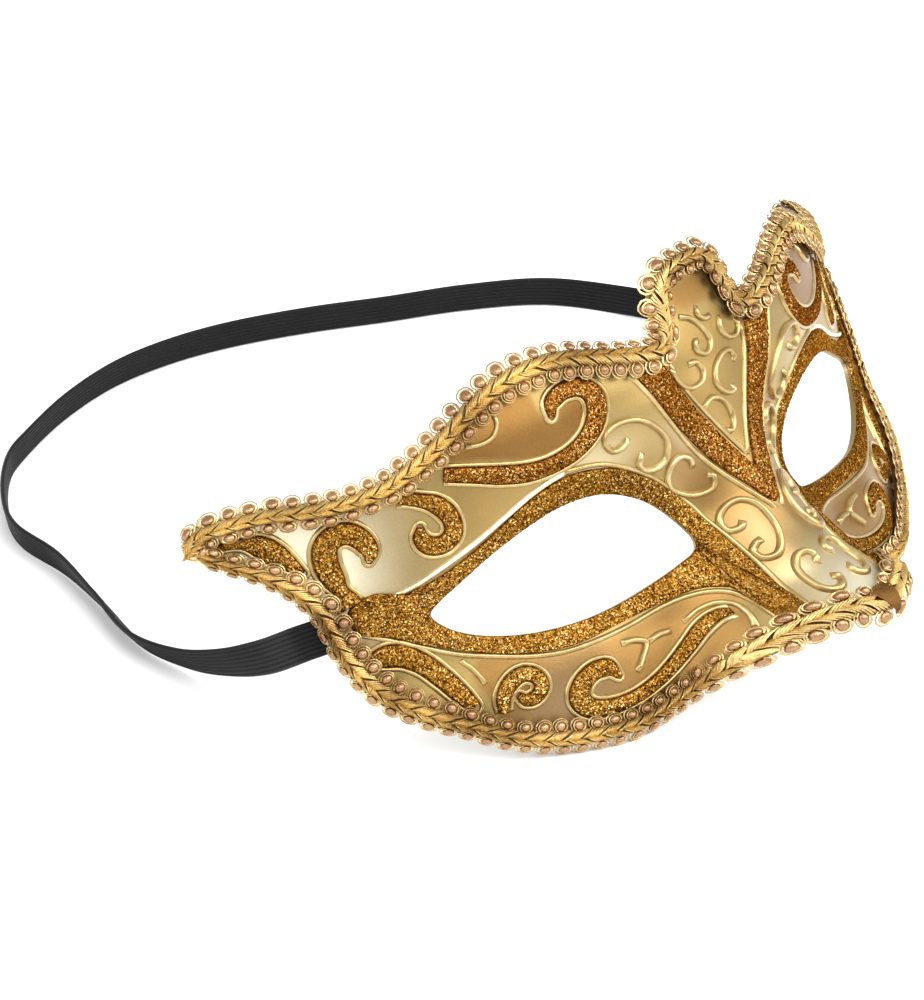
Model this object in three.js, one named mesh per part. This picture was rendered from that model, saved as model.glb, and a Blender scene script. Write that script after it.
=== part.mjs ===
// Venetian half mask on its elastic band, standing on a table and leaning back on the band.
// Millimetres, +Z up. The mask is drawn in a face frame of its own, where x runs across the
// face, y runs back towards the wearer and z runs up the face, then leaned back as it stands.
import * as THREE from "three";
import { mergeVertices } from "three/addons/utils/BufferGeometryUtils.js";

// driving dimensions
const LEAN = THREE.MathUtils.degToRad(25); // how far the mask leans back
const FACE_RADIUS = 95; // curve of the mask around the face
const BRIDGE_SET_BACK = 5; // depth of the plain curve behind the bridge of the nose
const WALL = 1.2; // moulded shell
const EDGE = 1.5; // shell beyond the middle of its braid
const GAP = 0.3; // between touching pieces
const GLUE_LIFT = 0.45; // underside of the glitter glue above the shell
const GLITTER = 0.35; // height of the glitter glue
const BRAID_LIFT = 1.15; // underside of the braid above the shell
const BRAID_LOOPS = 1.15; // height of the rows of loops
const BRAID_CORE = 1.9; // height of the plaited core
const BAND_WIDTH = 7;
const BAND_THICK = 1;
const BAND_HEIGHT = 5.5; // where the band leaves the mask, in the face frame
const BAND_TAB = [81, 90.8]; // stapled length of the band, measured round the face
const PIVOT = 95; // where the band starts to bend

const smooth = (x, a, b) => THREE.MathUtils.smoothstep(x, a, b);

// Smooth curve through a few knots [x, value], flat beyond its ends.
function knots(list) {
  return (x) => {
    const last = list.length - 1;
    if (x <= list[0][0]) return list[0][1];
    if (x >= list[last][0]) return list[last][1];
    const i = list.findIndex((k) => k[0] > x) - 1;
    const slope = (j) => {
      const p = list[Math.max(0, j - 1)];
      const q = list[Math.min(last, j + 1)];
      return (q[1] - p[1]) / (q[0] - p[0]);
    };
    const [x0, v0] = list[i];
    const [x1, v1] = list[i + 1];
    const h = x1 - x0;
    const t = (x - x0) / h;
    return (
      (1 + 2 * t) * (1 - t) ** 2 * v0 + t * (1 - t) ** 2 * h * slope(i)
      + t * t * (3 - 2 * t) * v1 + t * t * (t - 1) * h * slope(i + 1)
    );
  };
}

// Nose: how far it stands out, its half width and how square its section is, by height.
const noseHeight = knots([
  [-34, 23.4], [-28, 22.2], [-20, 14.9], [-17, 12.2], [-10, 7.3], [0, 3.2], [10, 1.1], [25, 0.2],
]);
const noseWidth = knots([
  [-28, 19.5], [-22, 16.5], [-18, 14.3], [-7, 13], [0, 10], [10, 12], [30, 30],
]);
const nosePower = knots([[-28, 3], [-15, 2.3], [0, 2]]);

function relief(a, z) {
  const nose = Math.exp(-((a / noseWidth(z)) ** nosePower(z)));
  const brow = (1 - 0.55 * smooth(z, 27, 39)) * (0.35 + 0.65 * smooth(a, 6, 22));
  const forehead = 2.4 * smooth(z, 6, 24) * brow * (1 - smooth(a, 50, 75));
  const hollow = Math.exp(-(((a - 30) / 8) ** 2));
  const cheek = 1.6 * smooth(-z, 4, 18) * smooth(a, 36, 50) - 1.2 * smooth(-z, 8, 18) * hollow;
  const wing = 8 * smooth(a, 48, 110);
  const socket = Math.exp(-(((a - 26) / 20) ** 2) - ((z + 1) / 13) ** 2) * smooth(a, 2, 16);
  return noseHeight(z) * nose + forehead + cheek + wing - 4.8 * socket;
}

// Front of the mask at u mm round the face and z mm up it.
function front(u, z) {
  const n = relief(Math.abs(u), z);
  const t = u / FACE_RADIUS;
  const r = FACE_RADIUS + n;
  return new THREE.Vector3(r * Math.sin(t), BRIDGE_SET_BACK + FACE_RADIUS - r * Math.cos(t), z);
}

// The same point lifted off the front by a height along the surface normal.
function skin(u, z, lift) {
  const e = 0.05;
  const du = front(u + e, z).sub(front(u - e, z));
  const dz = front(u, z + e).sub(front(u, z - e));
  return front(u, z).addScaledVector(du.cross(dz).normalize(), lift);
}

// Closed solid from rings of points. Open rows of rings get end caps.
function loft(rings, closed) {
  const n = rings[0].length;
  const rows = rings.length;
  const position = rings.flat().flatMap((p) => [p.x, p.y, p.z]);
  const index = [];
  for (let i = 0; i < (closed ? rows : rows - 1); i++) {
    for (let j = 0; j < n; j++) {
      const a = i * n + j;
      const b = i * n + ((j + 1) % n);
      const c = ((i + 1) % rows) * n + j;
      const d = ((i + 1) % rows) * n + ((j + 1) % n);
      index.push(a, b, d, a, d, c);
    }
  }
  if (!closed) {
    for (let j = 1; j < n - 1; j++) {
      const e = (rows - 1) * n;
      index.push(0, j + 1, j, e, e + j, e + j + 1);
    }
  }
  return solid(position, index);
}

// Indexed geometry with its faces turned outwards.
function solid(position, index) {
  let geometry = new THREE.BufferGeometry();
  geometry.setAttribute("position", new THREE.Float32BufferAttribute(position, 3));
  geometry.setIndex(index);
  geometry = mergeVertices(geometry, 1e-4);
  const p = geometry.attributes.position;
  const id = geometry.index.array;
  const v = [0, 1, 2].map(() => new THREE.Vector3());
  let volume = 0;
  for (let i = 0; i < id.length; i += 3) {
    v.forEach((q, k) => q.fromBufferAttribute(p, id[i + k]));
    volume += v[0].dot(v[1].cross(v[2]));
  }
  if (volume < 0) for (let i = 0; i < id.length; i += 3) [id[i], id[i + 1]] = [id[i + 1], id[i]];
  geometry.computeVertexNormals();
  return geometry;
}

const path = (rows, closed) => new THREE.CatmullRomCurve3(
  rows.map((r) => new THREE.Vector3(...r)), closed, "centripetal",
);

// Eye hole of the right half, as [round the face, up the face], from its inner lower corner.
const eyeHole = path([
  [17.2, -7.1, 0], [20.9, -8.3, 0], [27.7, -9.4, 0], [37.4, -10, 0], [47.8, -9.4, 0],
  [57.9, -7.4, 0], [66.6, -3.8, 0], [71.1, 0, 0], [72.3, 2.6, 0], [70.1, 4.1, 0], [65.5, 5.9, 0],
  [57.7, 8.8, 0], [48.7, 11.1, 0], [42.1, 11.9, 0], [34.5, 10.9, 0], [27.5, 7.8, 0],
  [21.7, 3.6, 0], [17.6, -1.4, 0], [16.3, -5, 0],
], true);
const eye = (t) => eyeHole.getPointAt(((t % 1) + 1) % 1);

// Middle of the edge braid, from under the nose round the cheek to the wing tip and back over
// the brow to the middle lobe. The third number is the point of the eye hole that faces it.
const lowerEdge = [
  [0, -27.3, -0.01], [6.5, -26.1, 0], [13.4, -26.2, 0.02], [20.7, -28, 0.065],
  [29.4, -30.3, 0.125], [41.3, -31.4, 0.195], [49.7, -30.3, 0.265], [57.4, -28.3, 0.315],
  [65.2, -24.8, 0.36], [72.9, -19.2, 0.395], [80.2, -13.5, 0.42], [85.6, -7.3, 0.436],
  [88.7, 0.4, 0.446], [89.6, 5.3, 0.454], [90.2, 9.7, 0.461], [92.7, 14.9, 0.467],
  [97.2, 20.2, 0.471], [102.6, 24.6, 0.4735],
];
const wingTip = [[106.6, 27.6, 0.4745], [107.3, 29.2, 0.4755], [105.6, 30.9, 0.477]];
const upperEdge = [
  [100.3, 31.1, 0.483], [93.6, 30.6, 0.49], [85.8, 28.6, 0.5], [79.2, 27.5, 0.515],
  [72.3, 27.7, 0.54], [65.1, 29.8, 0.568], [57.8, 33, 0.608], [51.6, 36, 0.65],
  [44.4, 38.1, 0.705], [35.2, 37.9, 0.78], [27.8, 35.7, 0.84], [20.3, 33, 0.9],
  [14, 31.5, 0.93], [11, 32.8, 0.9475], [9.3, 37, 0.957], [8.1, 40.5, 0.964],
  [5.2, 43.6, 0.971], [0, 44.5, 0.975],
];

// Shell: a sheet between the eye hole and the edge on each side of the middle line.
function maskShell() {
  const edge = path([...lowerEdge, ...wingTip, ...upperEdge], false);
  const along = 120;
  const down = 16;
  const across = [9, 5]; // front and back
  const rim = [];
  for (let i = 0; i <= along; i++) {
    const t = i / along;
    const p = edge.getPointAt(t);
    const d = edge.getTangentAt(t);
    const len = Math.hypot(d.x, d.y);
    const end = i === 0 || i === along;
    rim.push({
      a: end ? 0 : p.x + (d.y / len) * EDGE,
      z: end ? p.y + (i ? EDGE : -EDGE) : p.y - (d.x / len) * EDGE,
      t: p.z,
      open: i < along,
    });
  }
  const top = rim[along];
  for (let i = 1; i < down; i++) {
    const k = i / down;
    rim.push({
      a: 0, z: THREE.MathUtils.lerp(top.z, rim[0].z, k), t: 0.975 + 0.015 * k, open: false,
    });
  }
  const position = [];
  const index = [];
  const cols = rim.length;
  for (const side of [-1, 1]) {
    const base = position.length / 3;
    const at = (layer, j, i) => base + (layer * (across[0] + 1) + j) * cols + (i % cols);
    const quad = (a, b, c, d) => index.push(...(side > 0 ? [a, b, c, a, c, d] : [a, c, b, a, d, c]));
    across.forEach((n, layer) => {
      for (let j = 0; j <= n; j++) {
        for (const r of rim) {
          const q = eye(r.t);
          const a = THREE.MathUtils.lerp(q.x, r.a, j / n);
          const z = THREE.MathUtils.lerp(q.y, r.z, j / n);
          position.push(...skin(side * a, z, layer * -WALL).toArray());
        }
      }
    });
    const [m, n] = across;
    for (let i = 0; i < cols; i++) {
      for (let j = 0; j < m; j++) quad(at(0, j, i), at(0, j + 1, i), at(0, j + 1, i + 1), at(0, j, i + 1));
      for (let j = 0; j < n; j++) quad(at(1, j, i), at(1, j, i + 1), at(1, j + 1, i + 1), at(1, j + 1, i));
      quad(at(0, 0, i), at(0, 0, i + 1), at(1, 0, i + 1), at(1, 0, i));
      if (rim[i].open) quad(at(0, m, i), at(1, n, i), at(1, n, i + 1), at(0, m, i + 1));
    }
  }
  return solid(position, index);
}

// Ribbon laid on the front. Rows are [round the face, up the face, half width], and the
// section is a list of [share of the half width, lift].
function ribbon(rows, side, steps, section) {
  const line = path(rows, false);
  const rings = [];
  for (let i = 0; i <= steps; i++) {
    const p = line.getPointAt(i / steps);
    const d = line.getTangentAt(i / steps);
    const len = Math.hypot(d.x, d.y);
    rings.push(section.map(([k, lift]) => skin(
      side * (p.x + (k * p.z * d.y) / len), p.y - (k * p.z * d.x) / len, lift,
    )));
  }
  return loft(rings, false);
}
const TOP = GLUE_LIFT + GLITTER;
const glue = [[-1, GLUE_LIFT], [-0.75, TOP], [0.75, TOP], [1, GLUE_LIFT]];
const gimp = [
  [-1, BRAID_LIFT], [-1, BRAID_LIFT + BRAID_LOOPS], [-0.42, BRAID_LIFT + BRAID_LOOPS],
  [-0.28, BRAID_LIFT + BRAID_CORE], [0.28, BRAID_LIFT + BRAID_CORE],
  [0.42, BRAID_LIFT + BRAID_LOOPS], [1, BRAID_LIFT + BRAID_LOOPS], [1, BRAID_LIFT],
];

// Glitter between two lines that are given point for point.
const sheet = [
  [0, GLUE_LIFT], [0.08, TOP], [0.36, TOP], [0.64, TOP], [0.92, TOP], [1, GLUE_LIFT],
  [0.67, GLUE_LIFT], [0.33, GLUE_LIFT],
];
function field(pairs, steps, side, closed) {
  const inner = path(pairs.map((r) => [r[0], r[1], 0]), closed);
  const outer = path(pairs.map((r) => [r[2], r[3], 0]), closed);
  const rings = [];
  for (let i = 0; i < (closed ? steps : steps + 1); i++) {
    const p = inner.getPoint(i / steps);
    const q = outer.getPoint(i / steps);
    rings.push(sheet.map(([k, lift]) => skin(
      side * THREE.MathUtils.lerp(p.x, q.x, k), THREE.MathUtils.lerp(p.y, q.y, k), lift,
    )));
  }
  return loft(rings, closed);
}

// Glitter round the eye, with its point towards the wing and its leg down beside the nose.
const eyeRim = [
  [0, 15.4, -15.7], [0.03, 19.4, -14.1], [0.09, 27.9, -13.5], [0.18, 39.2, -13.3],
  [0.27, 50.1, -13], [0.345, 59.9, -10.4], [0.4, 68.2, -6.5], [0.44, 75.6, -2],
  [0.462, 80.8, 1.6], [0.47, 84.8, 3.4], [0.478, 86.3, 5.8], [0.486, 85.6, 8.9],
  [0.5, 80.9, 10.1], [0.525, 75.6, 8.2], [0.56, 68.1, 8.7], [0.62, 58.3, 11.6],
  [0.69, 48.8, 15.4], [0.76, 40.3, 17], [0.83, 31.3, 15.1], [0.89, 23.7, 10.7],
  [0.94, 17.4, 5.1], [0.966, 13.9, 0.1], [0.982, 11.3, -8.3], [0.988, 10, -15.2],
  [0.991, 9.8, -21.6], [0.994, 13, -21.5], [0.997, 13.8, -18.4],
].map(([t, a, z]) => {
  const q = eye(t);
  const d = new THREE.Vector2(a - q.x, z - q.y).normalize();
  return [q.x + d.x * 0.4, q.y + d.y * 0.4, a, z];
});

// Glitter V on the forehead: its outer line, then its inner line.
const veeHalf = [
  [20.3, 28.6, 12.4, 28], [17.6, 22.9, 11, 23.2], [14.6, 17.4, 9.2, 19.4],
  [11.2, 12.2, 7, 15.6], [7.6, 6.3, 4.4, 11], [3.9, 0.6, 2.1, 6.8], [0, -4.8, 0, 3.4],
];
const vee = [
  ...veeHalf,
  ...veeHalf.slice(0, -1).reverse().map(([a, z, b, y]) => [-a, z, -b, y]),
];

// Glitter curls on each half, as [round the face, up the face, half width].
const curls = {
  brow_curl_glitter: [26, [
    [61.8, 26.1, 1.2], [56.7, 24.1, 1.4], [51.8, 22.1, 1.6], [46.8, 20.6, 1.6], [41.8, 20.2, 1.5],
    [36.8, 21, 1.6], [33, 23, 1.8], [30.7, 25.8, 2], [30.2, 29, 2], [32, 31.4, 1.7],
    [35.5, 32, 1.5], [38.6, 30.7, 1.3], [39.4, 28.5, 0.5],
  ]],
  temple_curl_glitter: [20, [
    [67, 23.1, 1.2], [64.6, 21.2, 1.6], [63.1, 18, 1.6], [63.7, 15.2, 1.6], [66.2, 14, 1.6],
    [68.7, 15, 1.6], [69.4, 16.9, 1.3], [68.9, 18.5, 0.5],
  ]],
  wing_curl_glitter: [20, [
    [85.6, 12.6, 1.2], [86.1, 15, 1.8], [86.5, 18, 2.1], [85.7, 21.2, 2.1], [83.5, 22.7, 2],
    [81, 22.2, 1.9], [79.2, 20, 1.7], [78.7, 17.6, 1.3], [79.3, 16.2, 0.5],
  ]],
  wing_tip_glitter: [14, [
    [100.4, 27.4, 0.6], [98.4, 27, 1], [96, 25.6, 1.9], [94, 23.2, 2], [92, 20.4, 1.2],
    [90.6, 18.2, 0.5],
  ]],
  cheek_hook_glitter: [16, [
    [83.8, -1.5, 1.6], [82, -1.7, 2], [79.6, -2.6, 2], [76.8, -5.2, 1.8], [74.2, -9.2, 1.7],
    [72, -13.4, 1.5], [70.6, -16.2, 1],
  ]],
  cheek_spiral_glitter: [20, [
    [65.9, -19.4, 0.9], [65.2, -16.8, 1.3], [62.9, -14.6, 1.4], [60.2, -14.1, 1.3],
    [58.2, -15.4, 1.3], [57.8, -17.4, 1.3], [59.5, -18.9, 1.2], [61.5, -18.7, 1], [62.4, -17.5, 0.5],
  ]],
  cheek_curl_glitter: [28, [
    [17.3, -19.6, 0.5], [20, -19.6, 0.9], [23.3, -20.7, 1.2], [27, -22.8, 1.3], [31.4, -24.9, 1.3],
    [36.9, -26.4, 1.2], [42.8, -26.8, 1.2], [47.7, -26.2, 1.5], [50.8, -24.8, 1.8],
    [51.9, -22.6, 2], [50.5, -20.2, 1.8], [47.4, -18.9, 1.6], [44.4, -19.6, 1.4], [43, -21.8, 0.5],
  ]],
};

// Half width of the braid along each length: narrower where it is pinched round a corner.
const widths = (rows, list) => rows.map(([a, z], i) => [a, z, list(a, z, i)]);
const topHalf = widths([[107, 28.9], [104.4, 30.9], ...upperEdge], (a, z) => (
  a > 102 ? 2.2 : a > 98 ? 3 : a > 70 ? 3.3 : a > 30 ? 4 : a > 15 ? 3.6 : a > 8.5 ? 2.6 : 3.1
));
const braidTop = [...topHalf, ...topHalf.slice(0, -1).reverse().map(([a, z, w]) => [-a, z, w])];
const braidBottom = widths(
  [[0.3, -27.3], [2.5, -27.1], ...lowerEdge.slice(1), [104.2, 25.9]],
  (a) => (a < 3 ? 3.4 : a > 103 ? 1.4 : a > 101 ? 2.2 : a > 96 ? 3 : a > 88 ? 3.2 : 3.5),
);

const gold = { color: 0xe0cd92, roughness: 0.38, metalness: 0.75 };
const glitter = { color: 0xc08628, roughness: 0.55, metalness: 0.6 };
const thread = { color: 0xd8bd6c, roughness: 0.5, metalness: 0.55 };
const rubber = { color: 0x17171a, roughness: 0.85, metalness: 0 };
const steel = { color: 0xb9bcc0, roughness: 0.35, metalness: 0.9 };
function piece(parent, name, geometry, look) {
  const mesh = new THREE.Mesh(geometry, new THREE.MeshStandardMaterial(look));
  mesh.name = name;
  parent.add(mesh);
  return mesh;
}

const object = new THREE.Group();
const mask = new THREE.Group();
mask.rotation.x = -LEAN;
object.add(mask);

piece(mask, "mask_shell", maskShell(), gold);
piece(mask, "forehead_v_glitter", field(vee, 30, 1, false), glitter);
piece(mask, "braid_top", ribbon(braidTop, 1, 104, gimp), thread);
for (const [name, side] of [["left", -1], ["right", 1]]) {
  piece(mask, `eye_rim_glitter_${name}`, field(eyeRim, 84, side, true), glitter);
  for (const [curl, [steps, rows]] of Object.entries(curls)) {
    piece(mask, `${curl}_${name}`, ribbon(rows, side, steps, glue), glitter);
  }
  piece(mask, `braid_bottom_${name}`, ribbon(braidBottom, side, 60, gimp), thread);
  const under = -WALL - GAP;
  const mid = (BAND_TAB[0] + BAND_TAB[1]) / 2;
  piece(mask, `elastic_end_${name}`, ribbon(
    [[BAND_TAB[0], BAND_HEIGHT, BAND_WIDTH / 2], [mid, BAND_HEIGHT, BAND_WIDTH / 2],
      [BAND_TAB[1], BAND_HEIGHT, BAND_WIDTH / 2]], side, 6,
    [[-1, under], [1, under], [1, under - BAND_THICK], [-1, under - BAND_THICK]],
  ), rubber);
  const crown = under - BAND_THICK - GAP;
  piece(mask, `staple_${name}`, ribbon(
    [[mid, BAND_HEIGHT - 3, 0.35], [mid, BAND_HEIGHT, 0.35], [mid, BAND_HEIGHT + 3, 0.35]], side, 4,
    [[-1, crown], [1, crown], [1, crown - 0.5], [-1, crown - 0.5]],
  ), steel);
}

// Stand the mask on its cheeks, with the origin under its middle.
object.updateMatrixWorld(true);
const box = new THREE.Box3().setFromObject(mask, true);
mask.position.set(0, -(box.min.y + box.max.y) / 2, -box.min.z);
object.updateMatrixWorld(true);

// Free loop of the band, standing on its edge on the table: [x, y, middle height, lean out].
const TABLE_BACK = mask.position.y;
const loopRows = [
  [-82.2, 55.3, 15, 8], [-80.2, 67.4, 8.6, 22], [-78.5, 79.8, 4.4, 34], [-77.2, 92.2, 3.3, 40],
  [-70, 109, 3.4, 32], [-63.8, 125, 3.6, 22], [-60.6, 139.4, 3.6, 18], [-52.8, 150.8, 3.6, 8],
  [-39.5, 162.4, 3.6, -4], [-30, 166.6, 3.6, -9], [-12, 172.2, 3.6, -10], [6, 174.6, 3.6, -10],
  [21, 173, 3.6, -10], [35.2, 168.6, 3.6, -10], [52, 160, 3.6, -10], [67.3, 150, 3.6, -10],
  [83.4, 140, 3.6, -9], [97, 128, 3.6, -6], [104, 111.6, 3.6, 0], [104.4, 92, 5.5, 8],
  [100, 72, 9.6, 12], [92.4, 57.4, 15, 10],
];
function elasticLoop() {
  const root = (u) => mask.localToWorld(skin(u, BAND_HEIGHT, -WALL - GAP - BAND_THICK / 2));
  const tip = BAND_TAB[1] + GAP + 0.1;
  const ends = [tip, (tip + PIVOT) / 2, PIVOT];
  const rows = [
    ...ends.map((u) => [...root(-u).toArray(), 0]),
    ...loopRows.map(([x, y, z, lean]) => [x, y + TABLE_BACK, z, lean]),
    ...ends.reverse().map((u) => [...root(u).toArray(), 0]),
  ];
  const line = path(rows.map((r) => r.slice(0, 3)), false);
  const lean = path(rows.map((r) => [r[3], 0, 0]), false);
  const length = line.getLength();
  const stops = [0.2, 0.9, 2, 3.2];
  for (let s = 4.6; s < length - 4.5; s += (length - 9.2) / 78) stops.push(s);
  const half = [...stops, ...[3.2, 2, 0.9, 0.2].map((s) => length - s)];
  const tilt = new THREE.Vector3(0, Math.sin(LEAN), Math.cos(LEAN));
  return loft(half.map((s) => {
    const at = line.getPointAt(s / length);
    const t = line.getTangentAt(s / length);
    const near = Math.min(s, length - s);
    const out = new THREE.Vector3(-t.y, t.x, 0).normalize();
    const angle = THREE.MathUtils.degToRad(lean.getPoint(line.getUtoTmapping(s / length)).x);
    const up = new THREE.Vector3(0, 0, Math.cos(angle)).addScaledVector(out, Math.sin(angle));
    up.lerp(tilt, 1 - smooth(near, 6, 30)).addScaledVector(t, -up.dot(t)).normalize();
    const flat = t.clone().cross(up);
    const reach = BAND_WIDTH / 2;
    const w = near < reach ? Math.sqrt(reach ** 2 - (reach - near) ** 2) : reach;
    return [[-1, -1], [1, -1], [1, 1], [-1, 1]].map(([i, j]) => at.clone()
      .addScaledVector(up, i * w).addScaledVector(flat, (j * BAND_THICK) / 2));
  }), false);
}
piece(object, "elastic_loop", elasticLoop(), rubber);

export default object;
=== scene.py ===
"""Gold Venetian half mask with glitter scrollwork, a looped gimp edge and a ribbed elastic band."""
import math

import bpy
import numpy as np
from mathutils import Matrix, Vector


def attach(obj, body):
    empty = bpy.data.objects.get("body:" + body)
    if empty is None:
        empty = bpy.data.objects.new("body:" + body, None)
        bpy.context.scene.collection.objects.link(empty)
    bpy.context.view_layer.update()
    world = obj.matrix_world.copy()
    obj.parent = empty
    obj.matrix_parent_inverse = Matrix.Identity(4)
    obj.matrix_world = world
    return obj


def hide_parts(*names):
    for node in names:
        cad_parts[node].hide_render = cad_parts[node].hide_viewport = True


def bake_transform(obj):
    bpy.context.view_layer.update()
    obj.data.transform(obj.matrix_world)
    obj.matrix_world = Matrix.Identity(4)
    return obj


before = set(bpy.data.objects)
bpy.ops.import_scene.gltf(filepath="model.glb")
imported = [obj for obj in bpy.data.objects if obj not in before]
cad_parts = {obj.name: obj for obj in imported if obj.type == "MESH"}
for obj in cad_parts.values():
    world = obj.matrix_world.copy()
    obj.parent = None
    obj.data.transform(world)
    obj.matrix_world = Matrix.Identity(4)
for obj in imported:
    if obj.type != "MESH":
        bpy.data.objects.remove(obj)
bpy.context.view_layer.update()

# ---------------------------------------------------------------- shape of the mask, in millimetres
LEAN = math.radians(25)  # how far the mask leans back
SEAT = np.array([0.0, -16.828, 37.219])  # bridge of the nose, from the origin on the table
FACE_RADIUS = 95.0
BRIDGE_SET_BACK = 5.0
WALL = 1.2
EDGE = 1.5  # shell beyond the middle of its braid
BRAID_LIFT = 1.15
BAND_WIDTH = 7.0
BAND_THICK = 1.0
BAND_HEIGHT = 5.5  # where the band leaves the mask, up the face
BAND_ROOT = np.array([81, 84, 87, 90.8, 92.9, 95])  # its stapled end, round the face
GAP = 0.3  # between touching pieces
RIBS = 4  # across half the width of the band
CORE, LOOPS, BEADS, SHADE = range(4)  # the braid's materials, in order
rng = np.random.default_rng(11)


def smooth(x, a, b):
    """0 below a, 1 above b, and a cubic ease between."""
    t = np.clip((x - a) / (b - a), 0, 1)
    return t * t * (3 - 2 * t)


def knots(*points):
    """Cubic through a few knots, each with its neighbours' slope, and flat beyond the ends."""
    x, v = np.array(points, float).T
    lo = np.maximum(np.arange(len(x)) - 1, 0)
    hi = np.minimum(np.arange(len(x)) + 1, len(x) - 1)
    slope = (v[hi] - v[lo]) / (x[hi] - x[lo])

    def at(q):
        q = np.clip(q, x[0], x[-1])
        i = np.clip(np.searchsorted(x, q, side="right") - 1, 0, len(x) - 2)
        h = x[i + 1] - x[i]
        t = (q - x[i]) / h
        return (
            (1 + 2 * t) * (1 - t) ** 2 * v[i]
            + t * (1 - t) ** 2 * h * slope[i]
            + t * t * (3 - 2 * t) * v[i + 1]
            + t * t * (t - 1) * h * slope[i + 1]
        )

    return at


nose_height = knots(
    (-34, 23.4), (-28, 22.2), (-20, 14.9), (-17, 12.2), (-10, 7.3), (0, 3.2), (10, 1.1), (25, 0.2)
)
nose_width = knots((-28, 19.5), (-22, 16.5), (-18, 14.3), (-7, 13), (0, 10), (10, 12), (30, 30))
nose_power = knots((-28, 3), (-15, 2.3), (0, 2))


def relief(a, z):
    """How far the face stands out of its plain curve: nose, forehead, cheek, wing and eye socket."""
    nose = np.exp(-((a / nose_width(z)) ** nose_power(z)))
    brow = (1 - 0.55 * smooth(z, 27, 39)) * (0.35 + 0.65 * smooth(a, 6, 22))
    forehead = 2.4 * smooth(z, 6, 24) * brow * (1 - smooth(a, 50, 75))
    hollow = np.exp(-(((a - 30) / 8) ** 2))
    cheek = 1.6 * smooth(-z, 4, 18) * smooth(a, 36, 50) - 1.2 * smooth(-z, 8, 18) * hollow
    wing = 8 * smooth(a, 48, 110)
    socket = np.exp(-(((a - 26) / 20) ** 2) - ((z + 1) / 13) ** 2) * smooth(a, 2, 16)
    return nose_height(z) * nose + forehead + cheek + wing - 4.8 * socket


def front(u, z):
    """Point of the front at u round the face and z up it: the plain curve plus the relief."""
    t = u / FACE_RADIUS
    r = FACE_RADIUS + relief(np.abs(u), z)
    return np.stack([r * np.sin(t), BRIDGE_SET_BACK + FACE_RADIUS - r * np.cos(t), z], -1)


def to_table(p):
    """Face frame to the frame on the table, still in millimetres: leaned back, then seated."""
    x, y, z = np.moveaxis(p, -1, 0)
    c, s = math.cos(LEAN), math.sin(LEAN)
    return np.stack([x, y * c + z * s, z * c - y * s], -1) + SEAT


def skin(u, z, lift):
    """The front's point lifted along the front's normal, in metres on the table."""
    u, z, lift = np.broadcast_arrays(np.asarray(u, float), np.asarray(z, float), np.asarray(lift, float))
    e = 0.05
    n = np.cross(front(u + e, z) - front(u - e, z), front(u, z + e) - front(u, z - e))
    n /= np.linalg.norm(n, axis=-1, keepdims=True)
    return to_table(front(u, z) + n * lift[..., None]) * 0.001


def curve(points, step=None, count=None, closed=False):
    """Centripetal Catmull-Rom through the points, resampled evenly along its first two numbers."""
    p = np.array(points, float)
    if closed:
        p = np.concatenate([p[-1:], p, p[:2]])
    else:
        p = np.concatenate([2 * p[:1] - p[1:2], p, 2 * p[-1:] - p[-2:-1]])
    d = np.sqrt(np.linalg.norm(np.diff(p, axis=0), axis=1))[:, None]
    p0, p1, p2, p3 = p[:-3], p[1:-2], p[2:-1], p[3:]
    d0, d1, d2 = d[:-2], d[1:-1], d[2:]
    m1 = ((p1 - p0) / d0 - (p2 - p0) / (d0 + d1) + (p2 - p1) / d1) * d1
    m2 = ((p2 - p1) / d1 - (p3 - p1) / (d1 + d2) + (p3 - p2) / d2) * d1
    t = np.linspace(0, 1, 24, endpoint=False)[:, None, None]
    q = (
        (2 * t**3 - 3 * t**2 + 1) * p1
        + (t**3 - 2 * t**2 + t) * m1
        + (3 * t**2 - 2 * t**3) * p2
        + (t**3 - t**2) * m2
    )
    q = np.concatenate([q.transpose(1, 0, 2).reshape(-1, p.shape[1]), p2[-1:]])
    s = np.concatenate([[0], np.cumsum(np.linalg.norm(np.diff(q[:, :2], axis=0), axis=1))])
    n = count or max(4, int(round(s[-1] / step)))
    at = np.linspace(0, s[-1], n + 1)
    out = np.stack([np.interp(at, s, c) for c in q.T], -1)
    return out[:-1] if closed else out


def sideways(line):
    """Unit normals of a line drawn on the face: its direction turned a quarter turn clockwise."""
    d = np.gradient(line[:, :2], axis=0)
    d /= np.linalg.norm(d, axis=1, keepdims=True)
    return np.stack([d[:, 1], -d[:, 0]], -1)


# ---------------------------------------------------------------- meshes from grids
def grid_faces(rows, cols, closed_rows=False, closed_cols=False):
    """Quads of one grid of points, as indices."""
    r = np.arange(rows if closed_rows else rows - 1)[:, None]
    c = np.arange(cols if closed_cols else cols - 1)[None, :]
    r2, c2 = (r + 1) % rows, (c + 1) % cols
    return np.stack([r * cols + c, r * cols + c2, r2 * cols + c2, r2 * cols + c], -1).reshape(-1, 4)


WELD = 1e6  # points closer than a micrometre are one


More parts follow.
